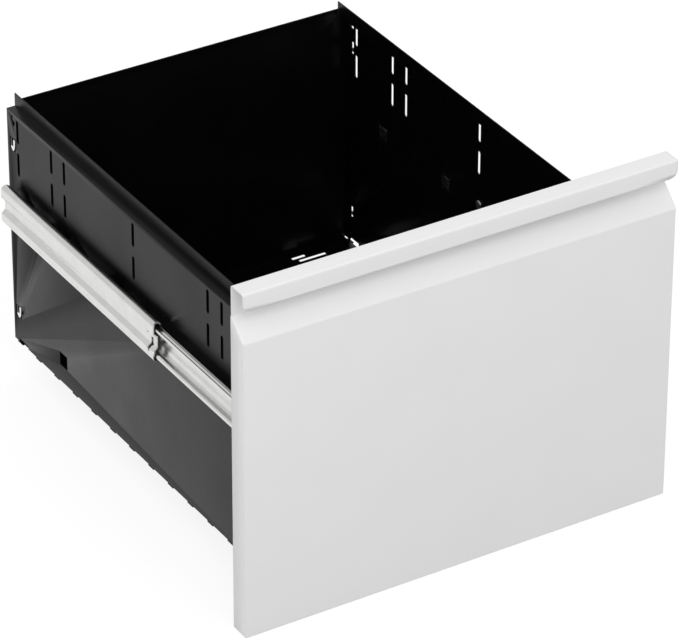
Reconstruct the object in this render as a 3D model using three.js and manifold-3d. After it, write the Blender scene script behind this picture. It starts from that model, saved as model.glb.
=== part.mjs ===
// Steel file drawer: a white folded front with its own pull, a black sheet-steel box with
// hanging-file lips, and a pair of 35 mm ball slides.
// Millimetres. X to the right, Y from front to back, Z up. Two planes organise the build: every
// piece is drawn with Y = 0 at the back of the front panel, and the finished set is moved so that
// the origin is at the middle of the overall footprint, level with the front's bottom edge.
import * as THREE from 'three';
import { mergeVertices } from 'three/addons/utils/BufferGeometryUtils.js';
import Module from 'manifold-3d';

const wasm = await Module();
wasm.setup();

// ---- Driving dimensions -------------------------------------------------------------------
const SHEET = 1.0; // box and front sheet thickness
const GAP = 0.3; // assembly clearance between neighbouring pieces

const FRONT_WIDTH = 385.4;
const FRONT_HEIGHT = 305; // 12 inch drawer front
const FRONT_DEPTH = 17.8; // depth of the folded pan
const RECESS_FOOT_Z = 262.7; // the face starts to slant back here
const RECESS_WALL_Z = 278.7; // the slant reaches the recess wall here
const PULL_REACH = 17.4; // pull lip's face, forward of the pan's back plane
const PULL_LIP_DROP = 15; // height of the hanging lip
const PULL_CORNER_R = 6.5;

const BOX_WIDTH = 318.8; // over the side panels
const BOX_DEPTH = 412.7;
const BOX_BOTTOM_Z = 31.3; // lower edge of the sides
const LEDGE_Z = 247; // top of the ledge beside the lip
const LEDGE_WIDTH = 7.5;
const LIP_TOP_Z = 258.4; // hanging-file lip
const BACK_TOP_Z = 251.8;
const INNER_FRONT_TOP_Z = 240;
const CORNER_FLANGE = 12; // forward and backward flanges inside the box corners

const DIVIDER_SLOT_Y = [71, 92, 207.2, 317.8, 338.9, 395.3];
const DIVIDER_SLOT_Z = [202.8, 232.6]; // middles of the lower and upper slot
const DIVIDER_SLOT_LENGTH = 21.2;
const DIVIDER_SLOT_WIDTH = 3.8;
const LUG_HOLE_SIZE = 12.2;
const LUG_HOLES = [[256, 160], [352.4, 160], [328.4, 53.2]]; // [y, z] of the square holes

const HOOK_WINDOW_Y = [399.4, 408.3];
const HOOKS = [[60.5, 10.5], [218, 11.5]]; // [z, height] of the hook windows
const HOOK_STEM_Y = [404, 406.9];
const HOOK_TOE = [
  [398.6, 11], [401.2, 11], [401.5, 4.6], [405, 4.3], [405.3, 2.8], [402.6, 0.5], [401, 0.7], [399.4, 3.4],
]; // outline of the hook's curled end: y, and height above the hook's lower edge
const HOOK_STAND_OUT = 0.9;
const KEY_SLIT = [
  [402.6, 244.6], [404.6, 244.4], [405.2, 240.8], [403.8, 238.6], [403.3, 235.9], [401, 235.7], [399.5, 237],
  [399.5, 240.2], [401.6, 240.1], [403.1, 241.2],
]; // curved slit with a wide foot, through the side panel and the back panel's flange

const FLOOR_TAB_PITCH = 31.05;
const FLOOR_TAB_FIRST_Y = 31;
const FLOOR_TAB_COUNT = 13;
const FLOOR_TAB_LENGTH = 8.5;
const FLOOR_TAB_REACH = 1.8;
const FLOOR_SLITS = [[[100, 113], [401, 404.9]], [[104, 130], [395.2, 399]]]; // [x range, y range]
const FOOT_NOTCH = { y: [390, 404.3], top: 34.4 }; // in the lower edge of each side panel

const STIFFENER_X = 110;
const STIFFENER_HALF_WIDTH = 18;
const STIFFENER_Z = [12, 250];
const SCREW_Z = { lower: 70, upper: 215 };

// Slide section. u runs out from the side panel, v runs up from the slide's centre line.
const SLIDE_Z = 165.3;
const SLIDE_THICKNESS = 12.5;
const SLIDE_HALF_HEIGHT = 17.5;
const RAIL_STEEL = 1.1;
const RACE_R = 4.2; // outside radius of a ball race
const RACE_U = SLIDE_THICKNESS - RACE_R;
const RACE_V = SLIDE_HALF_HEIGHT - RACE_R;
const WEB_U = 9.2; // outer face of the recessed web
const WEB_HALF_HEIGHT = 4.6;
const OUTER_RAIL_Y = [155.8, 404]; // drawer shown drawn out to its stop
const INNER_RAIL_Y = [1, 404];
const INNER_WEB_U = 2.9; // the web stands this far off the side panel
const INNER_WEB_HALF_HEIGHT = 9.9;
const GROOVE_R = 2.3; // ball groove along each flange of the inner rail
const BALL_R = 2; // 4 mm balls
const BALL_COUNT = 8; // balls in each row
const CAGE_Y = [178, 322];
const CAGE_STEEL = 0.4;
const RAIL_LUGS = 2; // the first two square holes take lugs of the inner rail
const RIVET_Y = { front: 17, middle: 205 };
const OPEN_STOP_Y = [323.6, 331];
const FRONT_BUMPER_Y = [1.3, 5.5];

// ---- Finishes -----------------------------------------------------------------------------
const FINISHES = {
  white: { color: 0xe9e9e8, roughness: 0.5, metalness: 0.0 },
  black: { color: 0x1d1d1e, roughness: 0.45, metalness: 0.1 },
  zinc: { color: 0xc9cbcc, roughness: 0.35, metalness: 0.9 },
  rivet: { color: 0x9a9c9e, roughness: 0.4, metalness: 0.9 },
  rubber: { color: 0x161616, roughness: 0.8, metalness: 0.0 },
};

// ---- Solid helpers ------------------------------------------------------------------------
/** Turns a closed three.js geometry into a manifold solid. */
function solid(geometry) {
  const plain = geometry.clone();
  plain.deleteAttribute('normal');
  plain.deleteAttribute('uv');
  const welded = mergeVertices(plain, 1e-4);
  return new wasm.Manifold(new wasm.Mesh({
    numProp: 3,
    vertProperties: new Float32Array(welded.attributes.position.array),
    triVerts: new Uint32Array(welded.index.array),
  }));
}

/** Turns a manifold solid back into a three.js geometry. */
function geometryOf(body) {
  const mesh = body.getMesh();
  const geometry = new THREE.BufferGeometry();
  geometry.setAttribute('position', new THREE.BufferAttribute(new Float32Array(mesh.vertProperties), 3));
  geometry.setIndex(new THREE.BufferAttribute(new Uint32Array(mesh.triVerts), 1));
  geometry.computeVertexNormals();
  return geometry;
}

/** Extrudes a closed outline drawn in local x, y along local z from one value to the other. */
function extruded(outline, low, high) {
  const shape = new THREE.Shape(outline.map(([x, y]) => new THREE.Vector2(x, y)));
  const geometry = new THREE.ExtrudeGeometry(shape, { depth: high - low, bevelEnabled: false });
  geometry.translate(0, 0, low);
  return geometry;
}

const ALONG_X = new THREE.Matrix4().makeBasis(
  new THREE.Vector3(0, 1, 0),
  new THREE.Vector3(0, 0, 1),
  new THREE.Vector3(1, 0, 0),
);
const ALONG_Y = new THREE.Matrix4().makeBasis(
  new THREE.Vector3(1, 0, 0),
  new THREE.Vector3(0, 0, 1),
  new THREE.Vector3(0, -1, 0),
);

/** A prism with its outline in y, z, running along X. */
function prismX(outline, x0, x1) {
  return solid(extruded(outline, x0, x1).applyMatrix4(ALONG_X));
}

/** A prism with its outline in x, z, running along Y. */
function prismY(outline, y0, y1) {
  return solid(extruded(outline, -y1, -y0).applyMatrix4(ALONG_Y));
}

/** A prism with its outline in x, y, running along Z. */
function prismZ(outline, z0, z1) {
  return solid(extruded(outline, z0, z1));
}

/** A block between two corners. */
function block([x0, x1], [y0, y1], [z0, z1]) {
  const geometry = new THREE.BoxGeometry(Math.abs(x1 - x0), Math.abs(y1 - y0), Math.abs(z1 - z0));
  geometry.translate((x0 + x1) / 2, (y0 + y1) / 2, (z0 + z1) / 2);
  return solid(geometry);
}

/** A turned piece along X from a half profile of [radius, distance] that starts and ends on the axis. */
function turnedX(profile, side, segments = 20) {
  const points = profile.map(([r, h]) => new THREE.Vector2(r, h));
  return solid(new THREE.LatheGeometry(points, segments).rotateZ((-side * Math.PI) / 2));
}

/** A turned piece along Y from a half profile of [radius, distance]. */
function turnedY(profile, segments = 20) {
  return solid(new THREE.LatheGeometry(profile.map(([r, h]) => new THREE.Vector2(r, h)), segments));
}

/** Adds a list of solids together. */
function joined(parts) {
  return parts.reduce((whole, part) => whole.add(part));
}

/** Cuts a list of solids from a body. */
function cut(body, tools) {
  return tools.reduce((rest, tool) => rest.subtract(tool), body);
}

// ---- Outline helpers ----------------------------------------------------------------------
/** Points on an arc, ends included. Angles in degrees. */
function arc(cx, cy, r, from, to, steps) {
  return Array.from({ length: steps + 1 }, (_, i) => {
    const angle = THREE.MathUtils.degToRad(from + ((to - from) * i) / steps);
    return [cx + r * Math.cos(angle), cy + r * Math.sin(angle)];
  });
}

/** Closed strip of sheet whose one face follows an open path; the steel lies on the path's right. */
function sheetStrip(path, thickness) {
  const unit = ([ax, ay], [bx, by]) => {
    const length = Math.hypot(bx - ax, by - ay);
    return [(bx - ax) / length, (by - ay) / length];
  };
  const offset = path.map((point, i) => {
    const before = unit(path[Math.max(i - 1, 0)], path[Math.max(i, 1)]);
    const after = unit(path[Math.min(i, path.length - 2)], path[Math.min(i + 1, path.length - 1)]);
    const nx = before[1] + after[1];
    const ny = -before[0] - after[0];
    const scale = (2 * thickness) / (nx * nx + ny * ny);
    return [point[0] + nx * scale, point[1] + ny * scale];
  });
  return [...path, ...offset.reverse()];
}

/** Round-ended slot outline, upright when the length is along the second coordinate. */
function slotOutline(cx, cy, width, length) {
  const r = width / 2;
  const half = length / 2 - r;
  return [...arc(cx, cy + half, r, 0, 180, 5), ...arc(cx, cy - half, r, 180, 360, 5)];
}

/** What a rounding of radius r removes from a square corner at the origin that opens to +x, +y. */
function cornerWaste(r) {
  const over = 1;
  return [[-over, -over], [r, -over], ...arc(r, r, r, 270, 180, 8), [-over, r]];
}

// ---- Front --------------------------------------------------------------------------------
/** The white front: pan, slanted finger recess and hanging pull lip, folded from one sheet. */
function frontPanel() {
  const half = FRONT_WIDTH / 2;
  const underPull = FRONT_HEIGHT - SHEET;
  const lipBottom = FRONT_HEIGHT - PULL_LIP_DROP;
  const skin = prismX(sheetStrip([
    [0, 0],
    [-FRONT_DEPTH, 0],
    [-FRONT_DEPTH, RECESS_FOOT_Z],
    [-SHEET, RECESS_WALL_Z],
    [-SHEET, underPull],
    [SHEET - PULL_REACH, underPull],
    [SHEET - PULL_REACH, lipBottom],
  ], SHEET), -half, half);
  const flange = [[0, 0], [-FRONT_DEPTH, 0], [-FRONT_DEPTH, RECESS_FOOT_Z], [0, RECESS_WALL_Z]];
  const flanges = [-1, 1].map((side) => prismX(
    flange,
    Math.min(side * half, side * (half - SHEET)),
    Math.max(side * half, side * (half - SHEET)),
  ));
  const corners = [-1, 1].map((side) => prismY(
    cornerWaste(PULL_CORNER_R).map(([x, z]) => [side * (half - x), lipBottom + z]),
    -PULL_REACH - 1,
    SHEET * 3 - PULL_REACH,
  ));
  return cut(joined([skin, ...flanges]), corners);
}

/** Upright channel inside the pan that takes the front screws. */
function frontStiffener(side) {
  const x = side * STIFFENER_X;
  const nose = -FRONT_DEPTH + SHEET + GAP;
  const channel = prismZ(sheetStrip([
    [x - STIFFENER_HALF_WIDTH, nose],
    [x - STIFFENER_HALF_WIDTH, -GAP],
    [x + STIFFENER_HALF_WIDTH, -GAP],
    [x + STIFFENER_HALF_WIDTH, nose],
  ], SHEET * 1.5), ...STIFFENER_Z);
  return cut(channel, Object.values(SCREW_Z).map((z) => screwHole(x, z)));
}

/** Clearance hole for a front screw. */
function screwHole(x, z) {
  const reach = 6;
  return turnedY([[0, -reach], [2 + GAP, -reach], [2 + GAP, reach], [0, reach]]).translate([x, 0, z]);
}

/** Pan-head screw with a cross recess; the head is inside the box. */
function frontScrew(x, z) {
  const seat = SHEET + 2 * GAP;
  const body = turnedY([
    [0, -9], [1.4, -8.4], [2, -7], [2, seat], [3.8, seat], [3.8, seat + 1.2], [2.6, seat + 2.3], [0, seat + 2.6],
  ]);
  const recess = [
    block([-2, 2], [seat + 1.3, seat + 3], [-0.45, 0.45]),
    block([-0.45, 0.45], [seat + 1.3, seat + 3], [-2, 2]),
  ];
  return cut(body, recess).translate([x, 0, z]);
}

// ---- Box ----------------------------------------------------------------------------------
const BOX_HALF = BOX_WIDTH / 2;
const INSIDE_HALF = BOX_HALF - SHEET - GAP; // outer face of pieces that nest between the sides
const FLOOR_Z = [BOX_BOTTOM_Z - GAP - SHEET, BOX_BOTTOM_Z - GAP];

/** Range across a side panel, wide enough to cut through it and its inner flanges. */
function acrossSide(side) {
  return [side * (BOX_HALF - 4), side * (BOX_HALF + 4)].sort((a, b) => a - b);
}

/** Window through a side panel for a hook of the back panel. */
function hookWindow(side, [z, height]) {
  return block(acrossSide(side), HOOK_WINDOW_Y, [z - height / 2, z + height / 2]);
}

/** Side panel with its ledge and hanging-file lip, divider slots and lug holes. */
function sidePanel(side) {
  const path = [
    [-BOX_HALF, BOX_BOTTOM_Z],
    [-BOX_HALF, LEDGE_Z],
    [LEDGE_WIDTH - BOX_HALF, LEDGE_Z],
    [LEDGE_WIDTH - BOX_HALF, LIP_TOP_Z],
  ];
  const outline = sheetStrip(path, SHEET).map(([x, z]) => [-side * x, z]);
  const [x0, x1] = acrossSide(side);
  const slots = DIVIDER_SLOT_Y.flatMap((y) => DIVIDER_SLOT_Z.map(
    (z) => prismX(slotOutline(y, z, DIVIDER_SLOT_WIDTH, DIVIDER_SLOT_LENGTH), x0, x1),
  ));
  const reach = LUG_HOLE_SIZE / 2;
  const lugHoles = LUG_HOLES.map(([y, z]) => block([x0, x1], [y - reach, y + reach], [z - reach, z + reach]));
  const windows = [...HOOKS.map((hook) => hookWindow(side, hook)), prismX(KEY_SLIT, x0, x1)];
  const notch = block([x0, x1], FOOT_NOTCH.y, [BOX_BOTTOM_Z - 1, FOOT_NOTCH.top]);
  return cut(prismY(outline, GAP, BOX_DEPTH), [...slots, ...lugHoles, ...windows, notch, ...rivetHoles(side)]);
}

/** Inner wall behind the white front, with a flange down each end. */
function innerFrontPanel() {
  const wall = prismZ(sheetStrip([
    [-INSIDE_HALF, CORNER_FLANGE],
    [-INSIDE_HALF, GAP],
    [INSIDE_HALF, GAP],
    [INSIDE_HALF, CORNER_FLANGE],
  ].reverse(), SHEET), BOX_BOTTOM_Z, INNER_FRONT_TOP_Z);
  const holes = [-1, 1].flatMap((side) => Object.values(SCREW_Z).map((z) => screwHole(side * STIFFENER_X, z)));
  return cut(wall, holes);
}

/** Back wall between the sides, closing the floor's back edge, with a flange and hooks at each end. */
function backPanel() {
  const y = [BOX_DEPTH - SHEET, BOX_DEPTH];
  const underLedge = LEDGE_Z - SHEET - GAP;
  const betweenLips = BOX_HALF - LEDGE_WIDTH - SHEET - GAP;
  const wall = block([-INSIDE_HALF, INSIDE_HALF], y, [FLOOR_Z[0], underLedge]);
  const top = block([-betweenLips, betweenLips], y, [underLedge - SHEET, BACK_TOP_Z]);
  const ends = [-1, 1].flatMap((side) => {
    const faces = [side * (INSIDE_HALF - SHEET), side * INSIDE_HALF];
    const reach = [BOX_DEPTH - CORNER_FLANGE, BOX_DEPTH - SHEET / 2];
    const flange = block(faces, reach, [FOOT_NOTCH.top + GAP, underLedge]);
    return [flange, ...HOOKS.map((hook) => hookTab(side, hook))];
  });
  return cut(joined([wall, top, ...ends]), [-1, 1].map((side) => prismX(KEY_SLIT, ...acrossSide(side))));
}

/** Hook through a side panel's window: a stem level with the panel and a toe that stands proud of it. */
function hookTab(side, [z, height]) {
  const low = z - height / 2 + GAP;
  const high = z + height / 2 - GAP;
  const face = side * BOX_HALF;
  const proud = side * (BOX_HALF + HOOK_STAND_OUT);
  const stem = block([side * (INSIDE_HALF - SHEET), face], HOOK_STEM_Y, [low, high]);
  const bridge = [HOOK_STEM_Y[0] - SHEET, HOOK_STEM_Y[0] + SHEET];
  const foot = block([face - side * SHEET / 2, proud], bridge, [low + 2.2, low + 4]);
  const toe = prismX(
    HOOK_TOE.map(([y, rise]) => [y, low + rise]),
    Math.min(face + side * GAP, proud),
    Math.max(face + side * GAP, proud),
  );
  return joined([stem, foot, toe]);
}

/** Floor sheet with a row of small tabs under the lower edge of each side. */
function bottomPanel() {
  const half = BOX_HALF - FLOOR_TAB_REACH;
  const sheet = block([-half, half], [GAP, BOX_DEPTH - SHEET - GAP], FLOOR_Z);
  const tabs = [-1, 1].flatMap((side) => Array.from({ length: FLOOR_TAB_COUNT }, (_, i) => {
    const y = FLOOR_TAB_FIRST_Y + i * FLOOR_TAB_PITCH;
    const x = [side * (half - 1), side * BOX_HALF];
    return block(x, [y - FLOOR_TAB_LENGTH / 2, y + FLOOR_TAB_LENGTH / 2], FLOOR_Z);
  }));
  const through = [FLOOR_Z[0] - 1, FLOOR_Z[1] + 1];
  const slits = [-1, 1].flatMap((side) => FLOOR_SLITS.map(
    ([x, y]) => block(x.map((value) => side * value), y, through),
  ));
  return cut(joined([sheet, ...tabs]), slits);
}

// ---- Slides -------------------------------------------------------------------------------
/** Moves a slide outline drawn in u, v to x, z on one side of the box. */
function onSide(outline, side) {
  return outline.map(([u, v]) => [side * (BOX_HALF + u), SLIDE_Z + v]);
}

/** Block given by its range out from the side panel, along the box and up from the slide's centre. */
function slideBlock(side, [u0, u1], y, [v0, v1]) {
  return block([side * (BOX_HALF + u0), side * (BOX_HALF + u1)], y, [SLIDE_Z + v0, SLIDE_Z + v1]);
}

/** Puts a u, v path and its mirror image below the centre line end to end. */
function aboveAndBelow(path) {
  return [...path, ...path.map(([u, v]) => [u, -v]).reverse()];
}

/** Rail that is screwed to the cabinet: two round ball races joined by a set-back web. */
function outerRail(side) {
  const half = aboveAndBelow([
    ...arc(RACE_U, RACE_V, RACE_R, 170, 0, 12),
    [SLIDE_THICKNESS, WEB_HALF_HEIGHT + 3],
    [WEB_U, WEB_HALF_HEIGHT],
  ]);
  const rail = prismY(onSide(sheetStrip(half, RAIL_STEEL), side), ...OUTER_RAIL_Y);
  const front = OUTER_RAIL_Y[0];
  const cageStop = slideBlock(side, [6.4, WEB_U - RAIL_STEEL / 2], [front + 20, front + 21.5], [-3, 3]);
  const [x0, x1] = [side * (BOX_HALF + WEB_U - 3), side * (BOX_HALF + SLIDE_THICKNESS + 2)].sort((a, b) => a - b);
  const z = (v) => SLIDE_Z + v;
  const openings = [
    prismX(slotOutline(front + 14.2, z(3.4), 2.2, 2.3), x0, x1),
    block([x0, x1], [front + 5.2, front + 8.8], [z(-5.5), z(1.8)]),
    prismX([
      [front + 6.2, z(-3.6)], [front + 8.8, z(-3.6)], [front + 9.4, z(-8.3)], [front + 8.6, z(-10.5)],
      [front + 6.2, z(-9.8)], [front + 6, z(-6.9)],
    ], x0, x1),
  ];
  const chamfer = [[front - 1, z(SLIDE_HALF_HEIGHT + 1)], [front - 1, z(SLIDE_HALF_HEIGHT - 3)],
    [front + 3, z(SLIDE_HALF_HEIGHT + 1)]];
  const across = [side * (BOX_HALF + 2), side * (BOX_HALF + SLIDE_THICKNESS + 2)].sort((a, b) => a - b);
  return joined([cut(rail, [...openings, prismX(chamfer, ...across)]), cageStop]);
}

/**
 * Rail that is fixed to the box. Its web stands a little off the side panel, each flange slopes out
 * to a crest and then dips into a ball groove, and two square lugs fill holes in the side panel.
 */
function innerRail(side) {
  const underGroove = GROOVE_R + RAIL_STEEL;
  const crest = RACE_U - GROOVE_R;
  const wallSide = aboveAndBelow([
    ...arc(RACE_U, RACE_V, GROOVE_R, 360, 190, 10),
    [crest, RACE_V + 0.1],
    [crest - 0.5, RACE_V + 0.1],
    [INNER_WEB_U, INNER_WEB_HALF_HEIGHT],
  ]);
  const roomSide = aboveAndBelow([
    ...arc(RACE_U, RACE_V, underGroove, 312, 215, 8),
    [INNER_WEB_U + RAIL_STEEL, INNER_WEB_HALF_HEIGHT - 0.4],
  ]);
  const channel = prismY(onSide([...wallSide, ...roomSide.reverse()], side), ...INNER_RAIL_Y);
  const reach = LUG_HOLE_SIZE / 2 - GAP;
  const lugs = LUG_HOLES.slice(0, RAIL_LUGS).map(([y, z]) => slideBlock(
    side,
    [-SHEET, INNER_WEB_U + RAIL_STEEL / 2],
    [y - reach, y + reach],
    [z - SLIDE_Z - reach, z - SLIDE_Z + reach],
  ));
  return cut(joined([channel, ...lugs]), rivetHoles(side));
}

/** Ball cage: a strip round the inner rail's flanges, hooked over a row of balls above and below. */
function ballCage(side) {
  const hook = { from: 100, to: 15, inner: BALL_R - 0.2, outer: RACE_R - RAIL_STEEL - GAP };
  const rim = (SLIDE_THICKNESS - RAIL_STEEL + RACE_U + GROOVE_R) / 2 + CAGE_STEEL / 2;
  const web = WEB_U - RAIL_STEEL - GAP * 2;
  const path = aboveAndBelow([[rim, RACE_V + 1], [rim, 8.8], [web, 5.3]]);
  const strip = prismY(onSide(sheetStrip(path, CAGE_STEEL), side), ...CAGE_Y);
  const cap = [
    ...arc(RACE_U, RACE_V, hook.outer, hook.from, hook.to, 6),
    ...arc(RACE_U, RACE_V, hook.inner, hook.to, hook.from, 6),
  ];
  const caps = [cap, cap.map(([u, v]) => [u, -v])].map((outline) => prismY(onSide(outline, side), ...CAGE_Y));
  const pitch = (CAGE_Y[1] - CAGE_Y[0]) / BALL_COUNT;
  const balls = Array.from({ length: BALL_COUNT }, (_, i) => CAGE_Y[0] + (i + 0.5) * pitch).flatMap(
    (y) => [-1, 1].map((row) => solid(new THREE.SphereGeometry(BALL_R, 12, 8))
      .translate([side * (BOX_HALF + RACE_U), y, SLIDE_Z + row * RACE_V])),
  );
  return joined([strip, ...caps, ...balls]);
}

/** Holes for the two rivets of one slide. */
function rivetHoles(side) {
  const r = 2.4 + GAP;
  return Object.values(RIVET_Y).map((y) => turnedX([[0, -6], [r, -6], [r, 6], [0, 6]], side)
    .translate([side * BOX_HALF, y, SLIDE_Z]));
}

/** Rivet through the side panel and the inner rail's web, with its head in the channel. */
function rivet(side, y) {
  const tail = -SHEET - GAP;
  const seat = INNER_WEB_U + RAIL_STEEL + GAP;
  return turnedX([
    [0, tail - 1.2], [3, tail - 1.2], [3.6, tail - 0.6], [3.6, tail], [2.4, tail], [2.4, seat],
    [4.4, seat], [3.9, seat + 1], [2.2, seat + 1.6], [0, seat + 1.7],
  ], side).translate([side * BOX_HALF, y, SLIDE_Z]);
}

/** Pressed block in the inner rail that meets the ball cage when the drawer is fully out. */
function openStop(side) {
  const u0 = INNER_WEB_U + RAIL_STEEL + GAP;
  const ramp = prismZ([
    [side * (BOX_HALF + u0), OPEN_STOP_Y[0]],
    [side * (BOX_HALF + 7.3), OPEN_STOP_Y[0]],
    [side * (BOX_HALF + 7.3), OPEN_STOP_Y[0] + 2],
    [side * (BOX_HALF + u0), OPEN_STOP_Y[1]],
  ], SLIDE_Z - 4, SLIDE_Z + 4);
  return ramp;
}

/** Soft block at the front of the inner rail that the outer rail meets when the drawer is shut. */
function frontBumper(side) {
  const outline = [[4.4, -6], [4.4, 6], [5.4, 7], [10, 7], [11, 6], [11, -6], [10, -7], [5.4, -7]];
  return prismY(onSide(outline, side), ...FRONT_BUMPER_Y);
}

// ---- Assembly -----------------------------------------------------------------------------
const drawer = new THREE.Group();
drawer.name = 'steel_file_drawer';
const TO_ORIGIN = (FRONT_DEPTH - BOX_DEPTH) / 2;

/** Adds one piece to the group under its name. */
function add(name, body, finish) {
  const geometry = geometryOf(body.translate([0, TO_ORIGIN, 0]));
  const mesh = new THREE.Mesh(geometry, new THREE.MeshStandardMaterial(FINISHES[finish]));
  mesh.name = name;
  drawer.add(mesh);
}

add('front_panel', frontPanel(), 'white');
add('inner_front_panel', innerFrontPanel(), 'black');
add('back_panel', backPanel(), 'black');
add('bottom_panel', bottomPanel(), 'black');

for (const [word, side] of [['left', -1], ['right', 1]]) {
  add(`${word}_side_panel`, sidePanel(side), 'black');
  add(`${word}_front_stiffener`, frontStiffener(side), 'zinc');
  for (const [height, z] of Object.entries(SCREW_Z)) {
    add(`${word}_${height}_front_screw`, frontScrew(side * STIFFENER_X, z), 'rivet');
  }
  add(`${word}_outer_rail`, outerRail(side), 'zinc');
  add(`${word}_inner_rail`, innerRail(side), 'zinc');
  add(`${word}_ball_cage`, ballCage(side), 'rivet');
  for (const [place, y] of Object.entries(RIVET_Y)) {
    add(`${word}_${place}_rail_rivet`, rivet(side, y), 'rivet');
  }
  add(`${word}_open_stop`, openStop(side), 'zinc');
  add(`${word}_front_bumper`, frontBumper(side), 'rubber');
}

export default drawer;
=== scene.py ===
"""Looks of a steel file drawer: white folded front, black sheet-metal box and a pair of ball slides."""

import logging
import math
from dataclasses import dataclass, field
from enum import Enum
from typing import Any, Sequence

import bmesh
import bpy
import numpy as np
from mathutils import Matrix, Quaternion, Vector


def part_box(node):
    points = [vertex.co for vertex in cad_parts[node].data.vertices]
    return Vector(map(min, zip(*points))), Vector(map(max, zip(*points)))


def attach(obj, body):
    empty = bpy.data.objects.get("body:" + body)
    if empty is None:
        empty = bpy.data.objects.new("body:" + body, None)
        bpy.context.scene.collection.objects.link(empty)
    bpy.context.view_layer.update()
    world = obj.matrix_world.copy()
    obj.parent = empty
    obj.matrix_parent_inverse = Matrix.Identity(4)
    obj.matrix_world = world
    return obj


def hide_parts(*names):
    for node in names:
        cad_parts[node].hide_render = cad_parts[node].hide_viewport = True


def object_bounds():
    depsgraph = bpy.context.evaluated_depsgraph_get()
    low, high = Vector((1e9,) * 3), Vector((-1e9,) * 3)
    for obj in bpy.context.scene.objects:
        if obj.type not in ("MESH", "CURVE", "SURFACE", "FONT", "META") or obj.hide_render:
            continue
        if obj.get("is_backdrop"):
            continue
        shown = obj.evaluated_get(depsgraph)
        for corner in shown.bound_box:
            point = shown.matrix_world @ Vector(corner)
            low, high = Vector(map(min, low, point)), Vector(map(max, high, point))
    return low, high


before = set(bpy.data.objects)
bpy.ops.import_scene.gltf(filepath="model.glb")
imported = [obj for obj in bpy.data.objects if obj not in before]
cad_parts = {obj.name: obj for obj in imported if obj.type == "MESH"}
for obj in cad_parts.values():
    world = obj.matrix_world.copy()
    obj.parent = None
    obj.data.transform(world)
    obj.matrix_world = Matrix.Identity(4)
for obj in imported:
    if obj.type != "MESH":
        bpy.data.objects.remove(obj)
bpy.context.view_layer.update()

MM = 0.001
ARC_POINTS = 9  # points along each rounded fold
log = logging.getLogger("drawer")


# ---------------------------------------------------------------- small tools
def linear(hex_code: str) -> tuple[float, float, float, float]:
    """Turns an sRGB hex colour into linear RGBA.

    Args:
        hex_code: Six hex digits with a leading hash sign.

    Returns:
        Linear red, green, blue and an alpha of one.
    """
    srgb = np.array([int(hex_code[i : i + 2], 16) for i in (1, 3, 5)]) / 255.0
    rgb = np.where(srgb <= 0.04045, srgb / 12.92, ((srgb + 0.055) / 1.055) ** 2.4)
    return float(rgb[0]), float(rgb[1]), float(rgb[2]), 1.0


def add_node(
    tree: bpy.types.NodeTree, kind: str, inputs: dict[str | int, Any] | None = None, **settings: Any
) -> bpy.types.Node:
    """Adds one shader node, sets its options and fills or links its inputs.

    Args:
        tree: The material's node tree.
        kind: The node's type without the ShaderNode prefix.
        inputs: Input name or number to a value, or to the output socket it is fed from.
        **settings: Options of the node itself.

    Returns:
        The new node.
    """
    made = tree.nodes.new("ShaderNode" + kind)
    for name, value in settings.items():
        setattr(made, name, value)
    for key, value in (inputs or {}).items():
        if isinstance(value, bpy.types.NodeSocket):
            tree.links.new(value, made.inputs[key])
        else:
            made.inputs[key].default_value = value
    return made


def per_metre(size_mm: float) -> float:
    """Texture scale that makes one cell of a pattern this many millimetres across.

    Args:
        size_mm: Width of one cell.

    Returns:
        Cells in a metre.
    """
    return 1.0 / (size_mm * MM)


# ---------------------------------------------------------------- finishes
@dataclass(frozen=True)
class Finish:
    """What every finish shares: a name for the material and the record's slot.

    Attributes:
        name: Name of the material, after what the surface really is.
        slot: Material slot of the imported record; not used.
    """

    name: str
    slot: str

    def material(self) -> bpy.types.Material:
        """Returns the finish's material, made on first use."""
        found = bpy.data.materials.get(self.name)
        if found is not None:
            return found
        made = bpy.data.materials.new(self.name)
        made.use_nodes = True
        tree = made.node_tree
        tree.nodes.clear()
        shader = self.shade(tree)
        add_node(tree, "OutputMaterial", {"Surface": shader.outputs[0]})
        return made

    def shade(self, tree: bpy.types.NodeTree) -> bpy.types.Node:
        """Builds the shader of the finish in an empty node tree."""
        raise NotImplementedError


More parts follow.
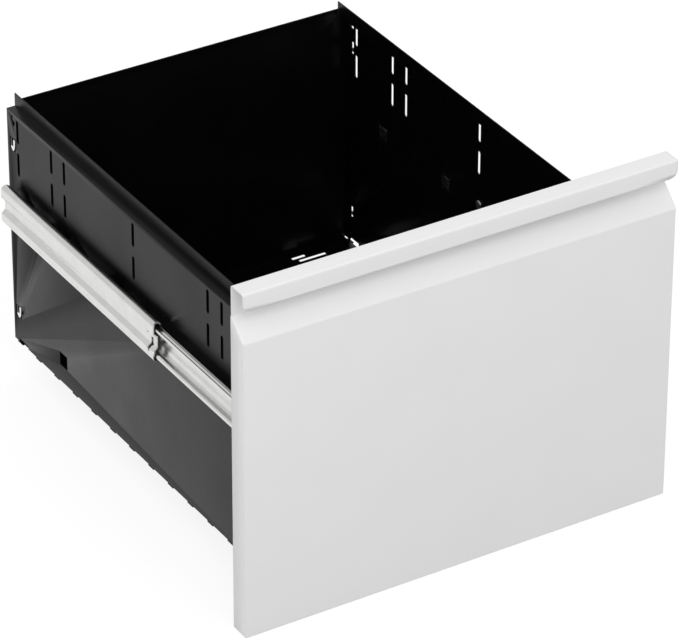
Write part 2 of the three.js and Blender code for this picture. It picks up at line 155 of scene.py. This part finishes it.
@dataclass(frozen=True)
class PowderCoat(Finish):
    """Polyester powder coat on phosphated steel: sprayed dry, melted in an oven.

    The melt leaves a faint orange peel about a millimetre across, a slow change in gloss where
    the film is thicker, and fine dust nibs. The eye sees a soft, slightly pebbled reflection.

    Attributes:
        colour: Colour of the film.
        shade_colour: Colour where the film is thin or handled.
        roughness: Middle roughness of the film.
        gloss_swing: How much the roughness wanders over the sheet.
        level: Specular level of the film.
        peel_mm: Width of one cell of the orange peel.
        peel_depth_mm: Height of the orange peel.
        patch_mm: Width of one patch of thicker or thinner film.
        nib_mm: Distance between dust nibs.
    """

    colour: str = "#F0F0F0"
    shade_colour: str = "#EDEDED"
    roughness: float = 0.45
    gloss_swing: float = 0.06
    level: float = 0.5
    peel_mm: float = 1.6
    peel_depth_mm: float = 0.012
    patch_mm: float = 55.0
    nib_mm: float = 9.0

    def shade(self, tree: bpy.types.NodeTree) -> bpy.types.Node:
        """Builds orange peel, film patches and dust nibs around one principled shader."""
        place = add_node(tree, "TexCoord").outputs["Object"]
        peel = add_node(
            tree, "TexNoise", {"Vector": place, "Scale": per_metre(self.peel_mm), "Detail": 2.0}
        )
        patch = add_node(
            tree, "TexNoise", {"Vector": place, "Scale": per_metre(self.patch_mm), "Detail": 3.0}
        )
        nibs = add_node(tree, "TexVoronoi", {"Vector": place, "Scale": per_metre(self.nib_mm)})
        nib_height = add_node(
            tree, "MapRange",
            {
                "Value": nibs.outputs["Distance"], "From Min": 0.0, "From Max": 0.05,
                "To Min": 0.6, "To Max": 0.0,
            },
        )
        height = add_node(
            tree, "Math", {0: peel.outputs["Fac"], 1: nib_height.outputs["Result"]}, operation="ADD"
        )
        bump = add_node(
            tree, "Bump",
            {"Height": height.outputs[0], "Distance": self.peel_depth_mm * MM, "Strength": 1.0},
        )
        gloss = add_node(
            tree, "MapRange",
            {
                "Value": patch.outputs["Fac"], "From Min": 0.3, "From Max": 0.7,
                "To Min": self.roughness - self.gloss_swing, "To Max": self.roughness + self.gloss_swing,
            },
        )
        tint = add_node(
            tree, "Mix",
            {"Factor": patch.outputs["Fac"], "A": linear(self.colour), "B": linear(self.shade_colour)},
            data_type="RGBA",
        )
        return add_node(
            tree, "BsdfPrincipled",
            {
                "Base Color": tint.outputs["Result"], "Roughness": gloss.outputs["Result"],
                "Normal": bump.outputs["Normal"], "Specular IOR Level": self.level, "IOR": 1.5,
            },
        )


@dataclass(frozen=True)
class RubbedCoat(PowderCoat):
    """Powder coat that is rubbed through to bare steel on whatever stands proud of the box's sides.

    The tips of the hooks are hammered over and scrape in handling, so the eye sees bright metal
    at their tips and the plain coat everywhere else.

    Attributes:
        proud_mm: Distance from the middle of the box beyond which the steel is bare.
        bare_colour: Colour of the bare steel.
        bare_roughness: Roughness of the bare steel.
    """

    proud_mm: float = 159.5
    bare_colour: str = "#E8E8E6"
    bare_roughness: float = 0.3

    def shade(self, tree: bpy.types.NodeTree) -> bpy.types.Node:
        """Builds the coat, then turns colour, metal and gloss over to steel at the tips."""
        coat = super().shade(tree)
        place = add_node(tree, "TexCoord").outputs["Object"]
        across = add_node(tree, "SeparateXYZ", {"Vector": place}).outputs["X"]
        distance = add_node(tree, "Math", {0: across}, operation="ABSOLUTE").outputs[0]
        bare = add_node(
            tree, "Math", {0: distance, 1: self.proud_mm * MM}, operation="GREATER_THAN"
        ).outputs[0]
        film = coat.inputs["Base Color"].links[0].from_socket
        gloss = coat.inputs["Roughness"].links[0].from_socket
        colour = add_node(
            tree, "Mix", {"Factor": bare, "A": film, "B": linear(self.bare_colour)}, data_type="RGBA"
        )
        blur = add_node(
            tree, "Mix", {"Factor": bare, "A": gloss, "B": self.bare_roughness}, data_type="FLOAT"
        )
        tree.links.new(colour.outputs["Result"], coat.inputs["Base Color"])
        tree.links.new(blur.outputs["Result"], coat.inputs["Roughness"])
        tree.links.new(bare, coat.inputs["Metallic"])
        return coat


@dataclass(frozen=True)
class RolledZinc(Finish):
    """Bright zinc plate over cold-rolled, roll-formed steel.

    The rolls draw hair-fine lines along the strip and the plating adds a cloudy, slightly cool
    sheen, so the eye sees long soft streaks instead of a mirror.

    Attributes:
        colour: Colour of the plate where it is bright.
        dull_colour: Colour where the plate is cloudy.
        roughness: Middle roughness.
        streak_mm: Spacing of the drawn lines across the strip.
        streak_length_mm: Length of one line along the strip.
        streak_depth_mm: Depth of the lines.
        cloud_mm: Width of one cloud of the plating.
    """

    colour: str = "#E2E2E1"
    dull_colour: str = "#CFCFCD"
    roughness: float = 0.24
    streak_mm: float = 0.7
    streak_length_mm: float = 60.0
    streak_depth_mm: float = 0.006
    cloud_mm: float = 14.0

    def shade(self, tree: bpy.types.NodeTree) -> bpy.types.Node:
        """Builds drawn lines and plating clouds around one metal shader."""
        place = add_node(tree, "TexCoord").outputs["Object"]
        across, along = per_metre(self.streak_mm), per_metre(self.streak_length_mm)
        drawn = add_node(tree, "Mapping", {"Vector": place, "Scale": (across, along, across)})
        streak = add_node(tree, "TexNoise", {"Vector": drawn.outputs[0], "Scale": 1.0, "Detail": 3.0})
        cloud = add_node(
            tree, "TexNoise", {"Vector": place, "Scale": per_metre(self.cloud_mm), "Detail": 4.0}
        )
        tint = add_node(
            tree, "Mix",
            {"Factor": cloud.outputs["Fac"], "A": linear(self.colour), "B": linear(self.dull_colour)},
            data_type="RGBA",
        )
        blur = add_node(
            tree, "MapRange",
            {
                "Value": streak.outputs["Fac"], "From Min": 0.25, "From Max": 0.75,
                "To Min": self.roughness - 0.08, "To Max": self.roughness + 0.1,
            },
        )
        bump = add_node(
            tree, "Bump",
            {"Height": streak.outputs["Fac"], "Distance": self.streak_depth_mm * MM, "Strength": 1.0},
        )
        return add_node(
            tree, "BsdfPrincipled",
            {
                "Base Color": tint.outputs["Result"], "Roughness": blur.outputs["Result"],
                "Metallic": 1.0, "Normal": bump.outputs["Normal"],
            },
        )


@dataclass(frozen=True)
class MouldedRubber(Finish):
    """Compression-moulded rubber with a dusty bloom: dark, matt and finely pitted.

    Attributes:
        colour: Colour of the rubber.
        bloom_colour: Colour of the waxy bloom on it.
        roughness: Roughness of the rubber.
        pit_mm: Width of one pit.
        pit_depth_mm: Depth of a pit.
        bloom_mm: Width of one patch of bloom.
    """

    colour: str = "#141414"
    bloom_colour: str = "#242424"
    roughness: float = 0.85
    pit_mm: float = 0.6
    pit_depth_mm: float = 0.04
    bloom_mm: float = 4.0

    def shade(self, tree: bpy.types.NodeTree) -> bpy.types.Node:
        """Builds fine pits and a cloudy bloom."""
        place = add_node(tree, "TexCoord").outputs["Object"]
        pits = add_node(tree, "TexNoise", {"Vector": place, "Scale": per_metre(self.pit_mm), "Detail": 4.0})
        bloom = add_node(
            tree, "TexNoise", {"Vector": place, "Scale": per_metre(self.bloom_mm), "Detail": 2.0}
        )
        tint = add_node(
            tree, "Mix",
            {"Factor": bloom.outputs["Fac"], "A": linear(self.colour), "B": linear(self.bloom_colour)},
            data_type="RGBA",
        )
        bump = add_node(
            tree, "Bump", {"Height": pits.outputs["Fac"], "Distance": self.pit_depth_mm * MM}
        )
        return add_node(
            tree, "BsdfPrincipled",
            {
                "Base Color": tint.outputs["Result"], "Roughness": self.roughness,
                "Normal": bump.outputs["Normal"],
            },
        )


WHITE_COAT = PowderCoat("white_powder_coat", "white_paint")
BLACK_FILM = {
    "slot": "black_paint", "colour": "#060606", "shade_colour": "#080808", "roughness": 0.28,
    "gloss_swing": 0.05, "level": 0.14, "peel_mm": 1.8,
}
BLACK_COAT = PowderCoat("satin_black_powder_coat", **BLACK_FILM)
HOOKED_COAT = RubbedCoat("satin_black_powder_coat_with_rubbed_hooks", **BLACK_FILM)
RAIL_ZINC = RolledZinc("bright_zinc_plated_rail_steel", "zinc_steel")
FASTENER_ZINC = RolledZinc(
    "zinc_plated_fastener_steel", "fastener_steel",
    colour="#C6C6C5", dull_colour="#A6A7A7", roughness=0.36, streak_mm=0.5, streak_length_mm=0.9,
)
BUMPER_RUBBER = MouldedRubber("moulded_black_rubber", "black_rubber")


# ---------------------------------------------------------------- mesh tools
WELD_MM = 0.002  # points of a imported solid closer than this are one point
FLAT_DEG = 0.5  # faces that meet within this angle are one flat
QUAD = 4  # corners of the largest face that is kept whole
FOLD_DEG = 40.0  # edges that turn more than this are cut edges or folds


def new_piece(
    name: str, vertices: np.ndarray, faces: Sequence[Sequence[int]], finish: Finish, body: str
) -> bpy.types.Object:
    """Makes a mesh object at the origin, dresses it and puts it on a body.

    Args:
        name: Name of the piece.
        vertices: Points in metres, one row each.
        faces: Corner numbers of each face, outwards by the right-hand rule.
        finish: What the piece is finished in.
        body: The body it moves with.

    Returns:
        The new object.
    """
    mesh = bpy.data.meshes.new(name)
    mesh.from_pydata(vertices.tolist(), [], [tuple(face) for face in faces])
    made = bpy.data.objects.new(name, mesh)
    bpy.context.scene.collection.objects.link(made)
    mesh.materials.append(finish.material())
    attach(made, body)
    return made


def grid_faces(rows: int, columns: int, start: int = 0, flip: bool = False) -> list[tuple[int, ...]]:
    """Quads of a grid whose points are numbered row by row.

    Args:
        rows: Number of rows of points.
        columns: Number of points in a row.
        start: Number of the first point.
        flip: True to turn the faces over.

    Returns:
        Corner numbers of every quad.
    """
    row, column = np.meshgrid(np.arange(rows - 1), np.arange(columns - 1), indexing="ij")
    first = (start + row * columns + column).ravel()
    quads = np.stack([first, first + 1, first + columns + 1, first + columns], axis=1)
    if flip:
        quads = quads[:, ::-1]
    return [tuple(int(i) for i in quad) for quad in quads]


def welded(made: bpy.types.Object, distance_mm: float = 0.01) -> bpy.types.Object:
    """Merges points of a mesh that lie on each other.

    Args:
        made: The object.
        distance_mm: Points closer than this become one.

    Returns:
        The same object.
    """
    shape = bmesh.new()
    shape.from_mesh(made.data)
    bmesh.ops.remove_doubles(shape, verts=shape.verts, dist=distance_mm * MM)
    shape.to_mesh(made.data)
    shape.free()
    return made


def smooth(made: bpy.types.Object, angle_deg: float) -> bpy.types.Object:
    """Shades a mesh smooth and keeps the edges that are sharper than an angle.

    Args:
        made: The object.
        angle_deg: Edges that turn more than this stay sharp.

    Returns:
        The same object.
    """
    made.data.shade_smooth()
    made.data.set_sharp_from_angle(angle=math.radians(angle_deg))
    return made


def softened(
    node: str, name: str, finish: Finish, body: str, edge_mm: float, smooth_deg: float = 35.0
) -> bpy.types.Object:
    """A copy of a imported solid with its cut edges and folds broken, which stands for that solid.

    The loose triangles are welded and the flat ones melted together first, so that only true
    edges are left for the bevel. Flats with many corners are then split again, so that the
    holes in them stay open.

    Args:
        node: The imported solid.
        name: Name of the new piece.
        finish: What it is finished in.
        body: The body it moves with.
        edge_mm: Width of the broken edge.
        smooth_deg: Edges flatter than this are shaded as one curved surface.

    Returns:
        The new object.
    """
    shape = bmesh.new()
    shape.from_mesh(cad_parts[node].data)
    bmesh.ops.remove_doubles(shape, verts=shape.verts, dist=WELD_MM * MM)
    bmesh.ops.dissolve_limit(
        shape,
        angle_limit=math.radians(FLAT_DEG),
        verts=shape.verts,
        edges=shape.edges,
        use_dissolve_boundaries=False,
    )
    bmesh.ops.triangulate(shape, faces=[face for face in shape.faces if len(face.verts) > QUAD])
    mesh = bpy.data.meshes.new(name)
    shape.to_mesh(mesh)
    shape.free()
    mesh.materials.append(finish.material())
    made = bpy.data.objects.new(name, mesh)
    bpy.context.scene.collection.objects.link(made)
    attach(made, body)
    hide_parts(node)
    bevel = made.modifiers.new("broken_edge", "BEVEL")
    bevel.width = edge_mm * MM
    bevel.segments = 2
    bevel.limit_method = "ANGLE"
    bevel.angle_limit = math.radians(FOLD_DEG)
    bevel.use_clamp_overlap = True
    bevel.miter_outer = "MITER_ARC"
    return smooth(made, smooth_deg)


# ---------------------------------------------------------------- front
@dataclass
class FoldedFront:
    """White front: one sheet folded into a shallow pan, a slanted recess and a hanging pull lip.

    Attributes:
        sheet: Thickness of the steel.
        bend: Outside radius of a fold.
        crease: Radius of the fold where the face leaves for the recess.
        foot: Height of that crease.
        wall: Height at which the slant meets the recess wall.
        reach: How far the pull lip stands in front of the pan's back plane.
        drop: Height of the hanging lip.
        corner: Radius of the lip's lower corners.
        notch: How far the wall, pull and lip stop short of the side flanges.
        low: Lowest corner of the front's box.
        high: Highest corner of the front's box.
    """

    sheet: float = 1.0 * MM
    bend: float = 1.7 * MM
    crease: float = 2.4 * MM
    foot: float = 262.7 * MM
    wall: float = 278.7 * MM
    reach: float = 17.4 * MM
    drop: float = 15.0 * MM
    corner: float = 6.5 * MM
    notch: float = 0.4 * MM
    low: Vector = field(init=False)
    high: Vector = field(init=False)

    def __post_init__(self) -> None:
        """Reads the front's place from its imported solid."""
        self.low, self.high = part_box("front_panel")

    def folded_line(self) -> tuple[np.ndarray, int, int]:
        """Outer face of the sheet in Y and Z, from the bottom flange up and over to the lip.

        Each corner of the folded line is replaced by an arc that touches both legs: the arc starts
        and ends at the radius times the tangent of half the turn from the corner.

        Returns:
            The points, and the rows where the pan's face starts and where its slant ends.
        """
        back, face, top = self.high.y, self.low.y, self.high.z - self.sheet
        lip = back - self.reach + self.sheet
        corners = np.array([
            [back, self.low.z],
            [face, self.low.z],
            [face, self.low.z + self.foot],
            [back - self.sheet, self.low.z + self.wall],
            [back - self.sheet, top],
            [lip, top],
            [lip, self.high.z - self.drop],
        ])
        inside = self.bend - self.sheet
        radii = [self.bend, self.crease, inside + 0.6 * MM, inside, inside]
        rows = [corners[:1]]
        for before, corner, after, radius in zip(corners, corners[1:], corners[2:], radii):
            rows.append(self.bend_points(before, corner, after, radius))
        foot_row = rows[0].shape[0] + rows[1].shape[0] - 1
        wall_row = sum(r.shape[0] for r in rows[:4]) - rows[3].shape[0] // 2 - 1
        share = 1 - np.cos(np.linspace(0.0, math.pi / 2, ARC_POINTS))
        start = self.high.z - self.drop + self.corner
        heights = start - self.corner * share
        tail = np.stack([np.full(heights.size, lip), heights], axis=1)
        return np.concatenate([*rows, tail]), foot_row, wall_row

    @staticmethod
    def bend_points(
        before: np.ndarray, corner: np.ndarray, after: np.ndarray, radius: float
    ) -> np.ndarray:
        """Points of the arc that rounds one corner.

        Args:
            before: The corner before.
            corner: The corner to round.
            after: The corner after.
            radius: Radius of the arc.

        Returns:
            Points from one leg to the other.
        """
        a = (before - corner) / np.linalg.norm(before - corner)
        b = (after - corner) / np.linalg.norm(after - corner)
        half = math.acos(float(np.clip(a @ b, -1, 1))) / 2
        centre = corner + (a + b) / np.linalg.norm(a + b) * radius / math.sin(half)
        start = corner + a * radius / math.tan(half) - centre
        end = corner + b * radius / math.tan(half) - centre
        sweep = math.atan2(start[0] * end[1] - start[1] * end[0], float(start @ end))
        turn = np.linspace(0.0, sweep, ARC_POINTS)
        along = start[0] * np.cos(turn) - start[1] * np.sin(turn)
        up = start[0] * np.sin(turn) + start[1] * np.cos(turn)
        return centre + np.stack([along, up], axis=1)

    def build(self) -> bpy.types.Object:
        """Joins the skin, the side flanges and the rounded lower corners into one sheet.

        Returns:
            The finished front.
        """
        line, foot_row, wall_row = self.folded_line()
        half = self.high.x
        inner = half - self.bend
        ends = np.full(len(line), half - self.notch)
        lip_rows = slice(len(line) - ARC_POINTS, len(line))
        below = np.clip(self.high.z - self.drop + self.corner - line[lip_rows, 1], 0.0, self.corner)
        ends[lip_rows] -= self.corner - np.sqrt(np.maximum(self.corner**2 - below**2, 0.0))
        pan = np.arange(len(line)) <= wall_row
        points: list[np.ndarray] = []
        faces: list[tuple[int, ...]] = []
        self.add_grid(points, faces, self.skin(line, ends, inner, pan))
        for side in (-1, 1):
            flange = self.side_flange(line[foot_row : wall_row + 1], side, half)
            self.add_grid(points, faces, flange, flip=side < 0)
            self.add_grid(points, faces, self.lower_corner(side, half), flip=side < 0)
            self.add_grid(points, faces, self.lower_edge(side, half), flip=side > 0)
        made = new_piece("folded_front", np.concatenate(points), faces, WHITE_COAT, "drawer")
        welded(made)
        wall = made.modifiers.new("sheet", "SOLIDIFY")
        wall.thickness = self.sheet
        wall.offset = -1.0
        wall.use_even_offset = True
        wall.use_quality_normals = True
        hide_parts("front_panel")
        return smooth(made, FOLD_DEG)

    @staticmethod
    def add_grid(
        points: list[np.ndarray], faces: list[tuple[int, ...]], grid: np.ndarray, flip: bool = False
    ) -> None:
        """Adds a grid of points to a growing mesh.

        Args:
            points: The mesh's points so far, one array for each grid.
            faces: The mesh's faces so far.
            grid: The new points, as rows by columns by three.
            flip: True to turn the new faces over.
        """
        start = sum(len(p) for p in points)
        rows, columns = grid.shape[:2]
        points.append(grid.reshape(-1, 3))
        faces.extend(grid_faces(rows, columns, start, flip))

    @staticmethod
    def skin(line: np.ndarray, ends: np.ndarray, inner: float, pan: np.ndarray) -> np.ndarray:
        """The folded line carried across the front.

        A point is (share across times the row's half width, line Y, line Z). In the pan the outermost
        column stays on the flange's bend; above it, it runs out to the row's end.

        Args:
            line: The folded line in Y and Z.
            ends: Half width of each row above the pan.
            inner: Half width where the side flange's bend starts.
            pan: True for the rows that belong to the pan.

        Returns:
            The grid of points.
        """
        across = np.linspace(-1.0, 1.0, 13)
        limit = np.where(pan, inner, np.minimum(inner, ends))
        x = limit[:, None] * across[None, :]
        tips = np.where(pan, inner, ends)
        x = np.concatenate([-tips[:, None], x, tips[:, None]], axis=1)
        y = np.broadcast_to(line[:, :1], x.shape)
        z = np.broadcast_to(line[:, 1:], x.shape)
        return np.stack([x, y, z], axis=2)

    def side_flange(self, line: np.ndarray, side: int, half: float) -> np.ndarray:
        """Bend and flange at one side: a quarter circle round the upright edge, then straight back.

        The bend's radius shrinks to what is left of the flange where the slant meets the wall.

        Args:
            line: The pan's part of the folded line.
            side: -1 for the left, 1 for the right.
            half: Half the front's width.

        Returns:
            The grid of points.
        """
        depth = np.maximum(self.high.y - line[:, 0], 0.05 * MM)
        radius = np.minimum(self.bend, depth * 0.9)
        angle = np.linspace(0.0, math.pi / 2, ARC_POINTS)
        x = (half - radius)[:, None] + radius[:, None] * np.sin(angle)[None, :]
        y = line[:, :1] + radius[:, None] * (1 - np.cos(angle))[None, :]
        inner, outer = np.full((len(line), 1), half - self.bend), np.full((len(line), 1), half)
        x = np.concatenate([inner, x, outer], axis=1)
        y = np.concatenate([line[:, :1], y, np.full((len(line), 1), self.high.y)], axis=1)
        z = np.broadcast_to(line[:, 1:], x.shape)
        return np.stack([side * x, y, z], axis=2)

    def lower_corner(self, side: int, half: float) -> np.ndarray:
        """Eighth of a sphere that closes the corner where three folds meet.

        With a from the face to the flange and b from the face down, a point's direction from the
        centre is (sin a cos b, -cos a cos b, -sin b).

        Args:
            side: -1 for the left, 1 for the right.
            half: Half the front's width.

        Returns:
            The grid of points.
        """
        r = self.bend
        a, b = np.meshgrid(
            np.linspace(0, math.pi / 2, ARC_POINTS), np.linspace(math.pi / 2, 0, ARC_POINTS)
        )
        x = half - r + r * np.sin(a) * np.cos(b)
        y = self.low.y + r - r * np.cos(a) * np.cos(b)
        z = self.low.z + r - r * np.sin(b)
        return np.stack([side * x, y, z], axis=2)

    def lower_edge(self, side: int, half: float) -> np.ndarray:
        """Quarter cylinder that joins the side flange to the bottom flange, front to back.

        With a from the flange down, a point's direction from the centre line is (cos a, -sin a).

        Args:
            side: -1 for the left, 1 for the right.
            half: Half the front's width.

        Returns:
            The grid of points.
        """
        r = self.bend
        turn = np.linspace(0, math.pi / 2, ARC_POINTS)
        a, y = np.meshgrid(turn, [self.low.y + r, self.high.y], indexing="ij")
        x = half - r + r * np.cos(a)
        z = self.low.z + r - r * np.sin(a)
        return np.stack([side * x, y, z], axis=2)


# ---------------------------------------------------------------- box
@dataclass
class SheetBox:
    """Black box of folded sheets: two sides, back, floor and the wall behind the front.

    Attributes:
        edge_mm: Width of the broken edges of the sheets.
        sheets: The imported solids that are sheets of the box.
    """

    edge_mm: float = 0.14
    sheets: tuple[str, ...] = (
        "left_side_panel", "right_side_panel", "back_panel", "bottom_panel", "inner_front_panel",
    )

    def build(self) -> list[bpy.types.Object]:
        """Makes each sheet with broken edges.

        Returns:
            The sheets.
        """
        coats = {"back_panel": HOOKED_COAT}
        return [
            softened(
                node, node.replace("panel", "sheet"), coats.get(node, BLACK_COAT), "drawer", self.edge_mm
            )
            for node in self.sheets
        ]


# ---------------------------------------------------------------- slides
class Side(Enum):
    """The two sides of the drawer, seen from the front."""

    LEFT = "left"
    RIGHT = "right"


@dataclass
class BallSlide:
    """One ball slide: cabinet rail, drawer rail, ball cage, rivets, stop and bumper.

    Attributes:
        side: The side of the drawer it is on.
        edge_mm: Width of the broken edges of the roll-formed strip.
    """

    side: Side
    edge_mm: float = 0.2

    def build(self) -> list[bpy.types.Object]:
        """Makes the slide's pieces, each on the body it moves with.

        Returns:
            The pieces.
        """
        word = self.side.value
        made = [
            softened(f"{word}_outer_rail", f"{word}_cabinet_rail", RAIL_ZINC, "cabinet_rails", self.edge_mm),
            softened(f"{word}_inner_rail", f"{word}_drawer_rail", RAIL_ZINC, "drawer", self.edge_mm),
            softened(f"{word}_open_stop", f"{word}_open_stop_block", RAIL_ZINC, "drawer", 0.4),
            softened(f"{word}_front_bumper", f"{word}_front_bumper_block", BUMPER_RUBBER, "drawer", 0.5),
            softened(f"{word}_ball_cage", f"{word}_cage_and_balls", FASTENER_ZINC, f"{word}_cage", 0.1),
        ]
        for place in ("front", "middle"):
            rivet = f"{word}_{place}"
            made.append(softened(f"{rivet}_rail_rivet", f"{rivet}_rivet", FASTENER_ZINC, "drawer", 0.2))
        return made


@dataclass
class FrontFixings:
    """Upright channels inside the front and the screws that hold the box to them."""

    def build(self) -> list[bpy.types.Object]:
        """Makes channels and screws on both sides.

        Returns:
            The channels and screws.
        """
        made: list[bpy.types.Object] = []
        for side in Side:
            word = side.value
            made.append(
                softened(f"{word}_front_stiffener", f"{word}_front_channel", RAIL_ZINC, "drawer", 0.3)
            )
            for height in ("lower", "upper"):
                screw = f"{word}_{height}"
                made.append(
                    softened(f"{screw}_front_screw", f"{screw}_screw", FASTENER_ZINC, "drawer", 0.15)
                )
        return made


# ---------------------------------------------------------------- studio
@dataclass
class Studio:
    """Pale floor, soft light and the camera.

    Attributes:
        azimuth: Camera's bearing round the drawer, from straight in front.
        elevation: Camera's height above the horizon.
        camera: Camera's place.
        roll: Turn about the line of sight.
        lens: Focal length for a 36 mm wide picture.
        sky: Strength of the white sky.
        floor_colour: Colour of the paper floor.
        floor_glow: Glow of the floor as it is seen and mirrored.
        floor_fill: Glow of the floor as it lights matt surfaces.
        panel_place: Middle of the soft panel.
        panel_size: Width and height of the soft panel.
        panel_watts: Power of the soft panel.
        panel_aim: Point that the soft panel faces.
        floor_reach: Half the floor's width.
        floor_drop: Gap between the object and the floor.
    """

    azimuth: float = math.radians(-31.471)
    elevation: float = math.radians(31.574)
    camera: Vector = field(default_factory=lambda: Vector((-1.71094, -2.83074, 2.14256)))
    roll: float = math.radians(0.158)
    lens: float = 258.2
    sky: float = 0.8
    floor_colour: str = "#7A7A7A"
    floor_glow: float = 0.86
    floor_fill: float = 0.22
    panel_place: tuple[float, float, float] = (-0.9, -2.6, 2.6)
    panel_size: tuple[float, float] = (2.4, 1.8)
    panel_watts: float = 33.0
    panel_aim: tuple[float, float, float] = (0.0, 0.0, 0.15)
    floor_reach: float = 30.0
    floor_drop: float = 0.5 * MM

    def build(self) -> None:
        """Sets the stage."""
        self.add_floor()
        self.add_light()
        self.add_camera()
        bpy.context.scene.view_settings.view_transform = "Standard"
        bpy.context.scene.view_settings.look = "None"

    def add_floor(self) -> None:
        """Lays a wide pale floor just under the object."""
        low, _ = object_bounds()
        size = self.floor_reach
        corners = np.array([[-size, -size], [size, -size], [size, size], [-size, size]])
        points = np.column_stack([corners, np.full(len(corners), low.z - self.floor_drop)])
        mesh = bpy.data.meshes.new("studio_floor")
        mesh.from_pydata(points.tolist(), [], [(0, 1, 2, 3)])
        floor = bpy.data.objects.new("studio_floor", mesh)
        bpy.context.scene.collection.objects.link(floor)
        mesh.materials.append(self.paper())
        floor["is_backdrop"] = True

    def paper(self) -> bpy.types.Material:
        """White paper that glows as it is seen and mirrored, but sends less light up into the shade.

        Returns:
            The material.
        """
        made = bpy.data.materials.new("white_paper_sweep")
        made.use_nodes = True
        tree = made.node_tree
        tree.nodes.clear()
        path = add_node(tree, "LightPath")
        glow = add_node(
            tree, "MapRange",
            {
                "Value": path.outputs["Is Diffuse Ray"],
                "To Min": self.floor_glow, "To Max": self.floor_fill,
            },
        )
        shader = add_node(
            tree, "BsdfPrincipled",
            {
                "Base Color": linear(self.floor_colour), "Roughness": 0.9, "Specular IOR Level": 0.0,
                "Emission Color": linear("#FFFFFF"), "Emission Strength": glow.outputs["Result"],
            },
        )
        add_node(tree, "OutputMaterial", {"Surface": shader.outputs[0]})
        return made

    def add_light(self) -> None:
        """Lights the set with a white sky and one large soft panel above the left front."""
        world = bpy.data.worlds.new("white_studio")
        world.use_nodes = True
        sky = world.node_tree.nodes["Background"]
        sky.inputs["Color"].default_value = linear("#FFFFFF")
        sky.inputs["Strength"].default_value = self.sky
        bpy.context.scene.world = world
        panel = bpy.data.lights.new("soft_panel", "AREA")
        panel.shape = "RECTANGLE"
        panel.size, panel.size_y = self.panel_size
        panel.energy = self.panel_watts
        lamp = bpy.data.objects.new("soft_panel", panel)
        lamp.location = self.panel_place
        facing = Vector(self.panel_aim) - lamp.location
        lamp.rotation_euler = facing.to_track_quat("-Z", "Y").to_euler()
        bpy.context.scene.collection.objects.link(lamp)

    def add_camera(self) -> None:
        """Stands the camera in front, to the left and above."""
        data = bpy.data.cameras.new("camera")
        data.sensor_width = 36.0
        data.lens = self.lens
        data.clip_start, data.clip_end = 0.1, 100.0
        camera = bpy.data.objects.new("camera", data)
        bpy.context.scene.collection.objects.link(camera)
        a, e = self.azimuth, self.elevation
        back = Vector((math.sin(a) * math.cos(e), -math.cos(a) * math.cos(e), math.sin(e)))
        camera.rotation_mode = "QUATERNION"
        turn = (-back).to_track_quat("-Z", "Y")
        turn.rotate(Quaternion(back, self.roll))
        camera.rotation_quaternion = turn
        camera.location = self.camera
        bpy.context.scene.camera = camera


def main() -> None:
    """Builds the drawer from front to back, then the studio, and reports each piece."""
    logging.basicConfig(level=logging.INFO, format="%(name)s: %(message)s")
    made = [FoldedFront().build()]
    made += SheetBox().build()
    for side in Side:
        made += BallSlide(side).build()
    made += FrontFixings().build()
    for piece in made:
        log.info("%s: %d points, %s", piece.name, len(piece.data.vertices), piece.data.materials[0].name)
    Studio().build()


if __name__ == "__main__":
    main()
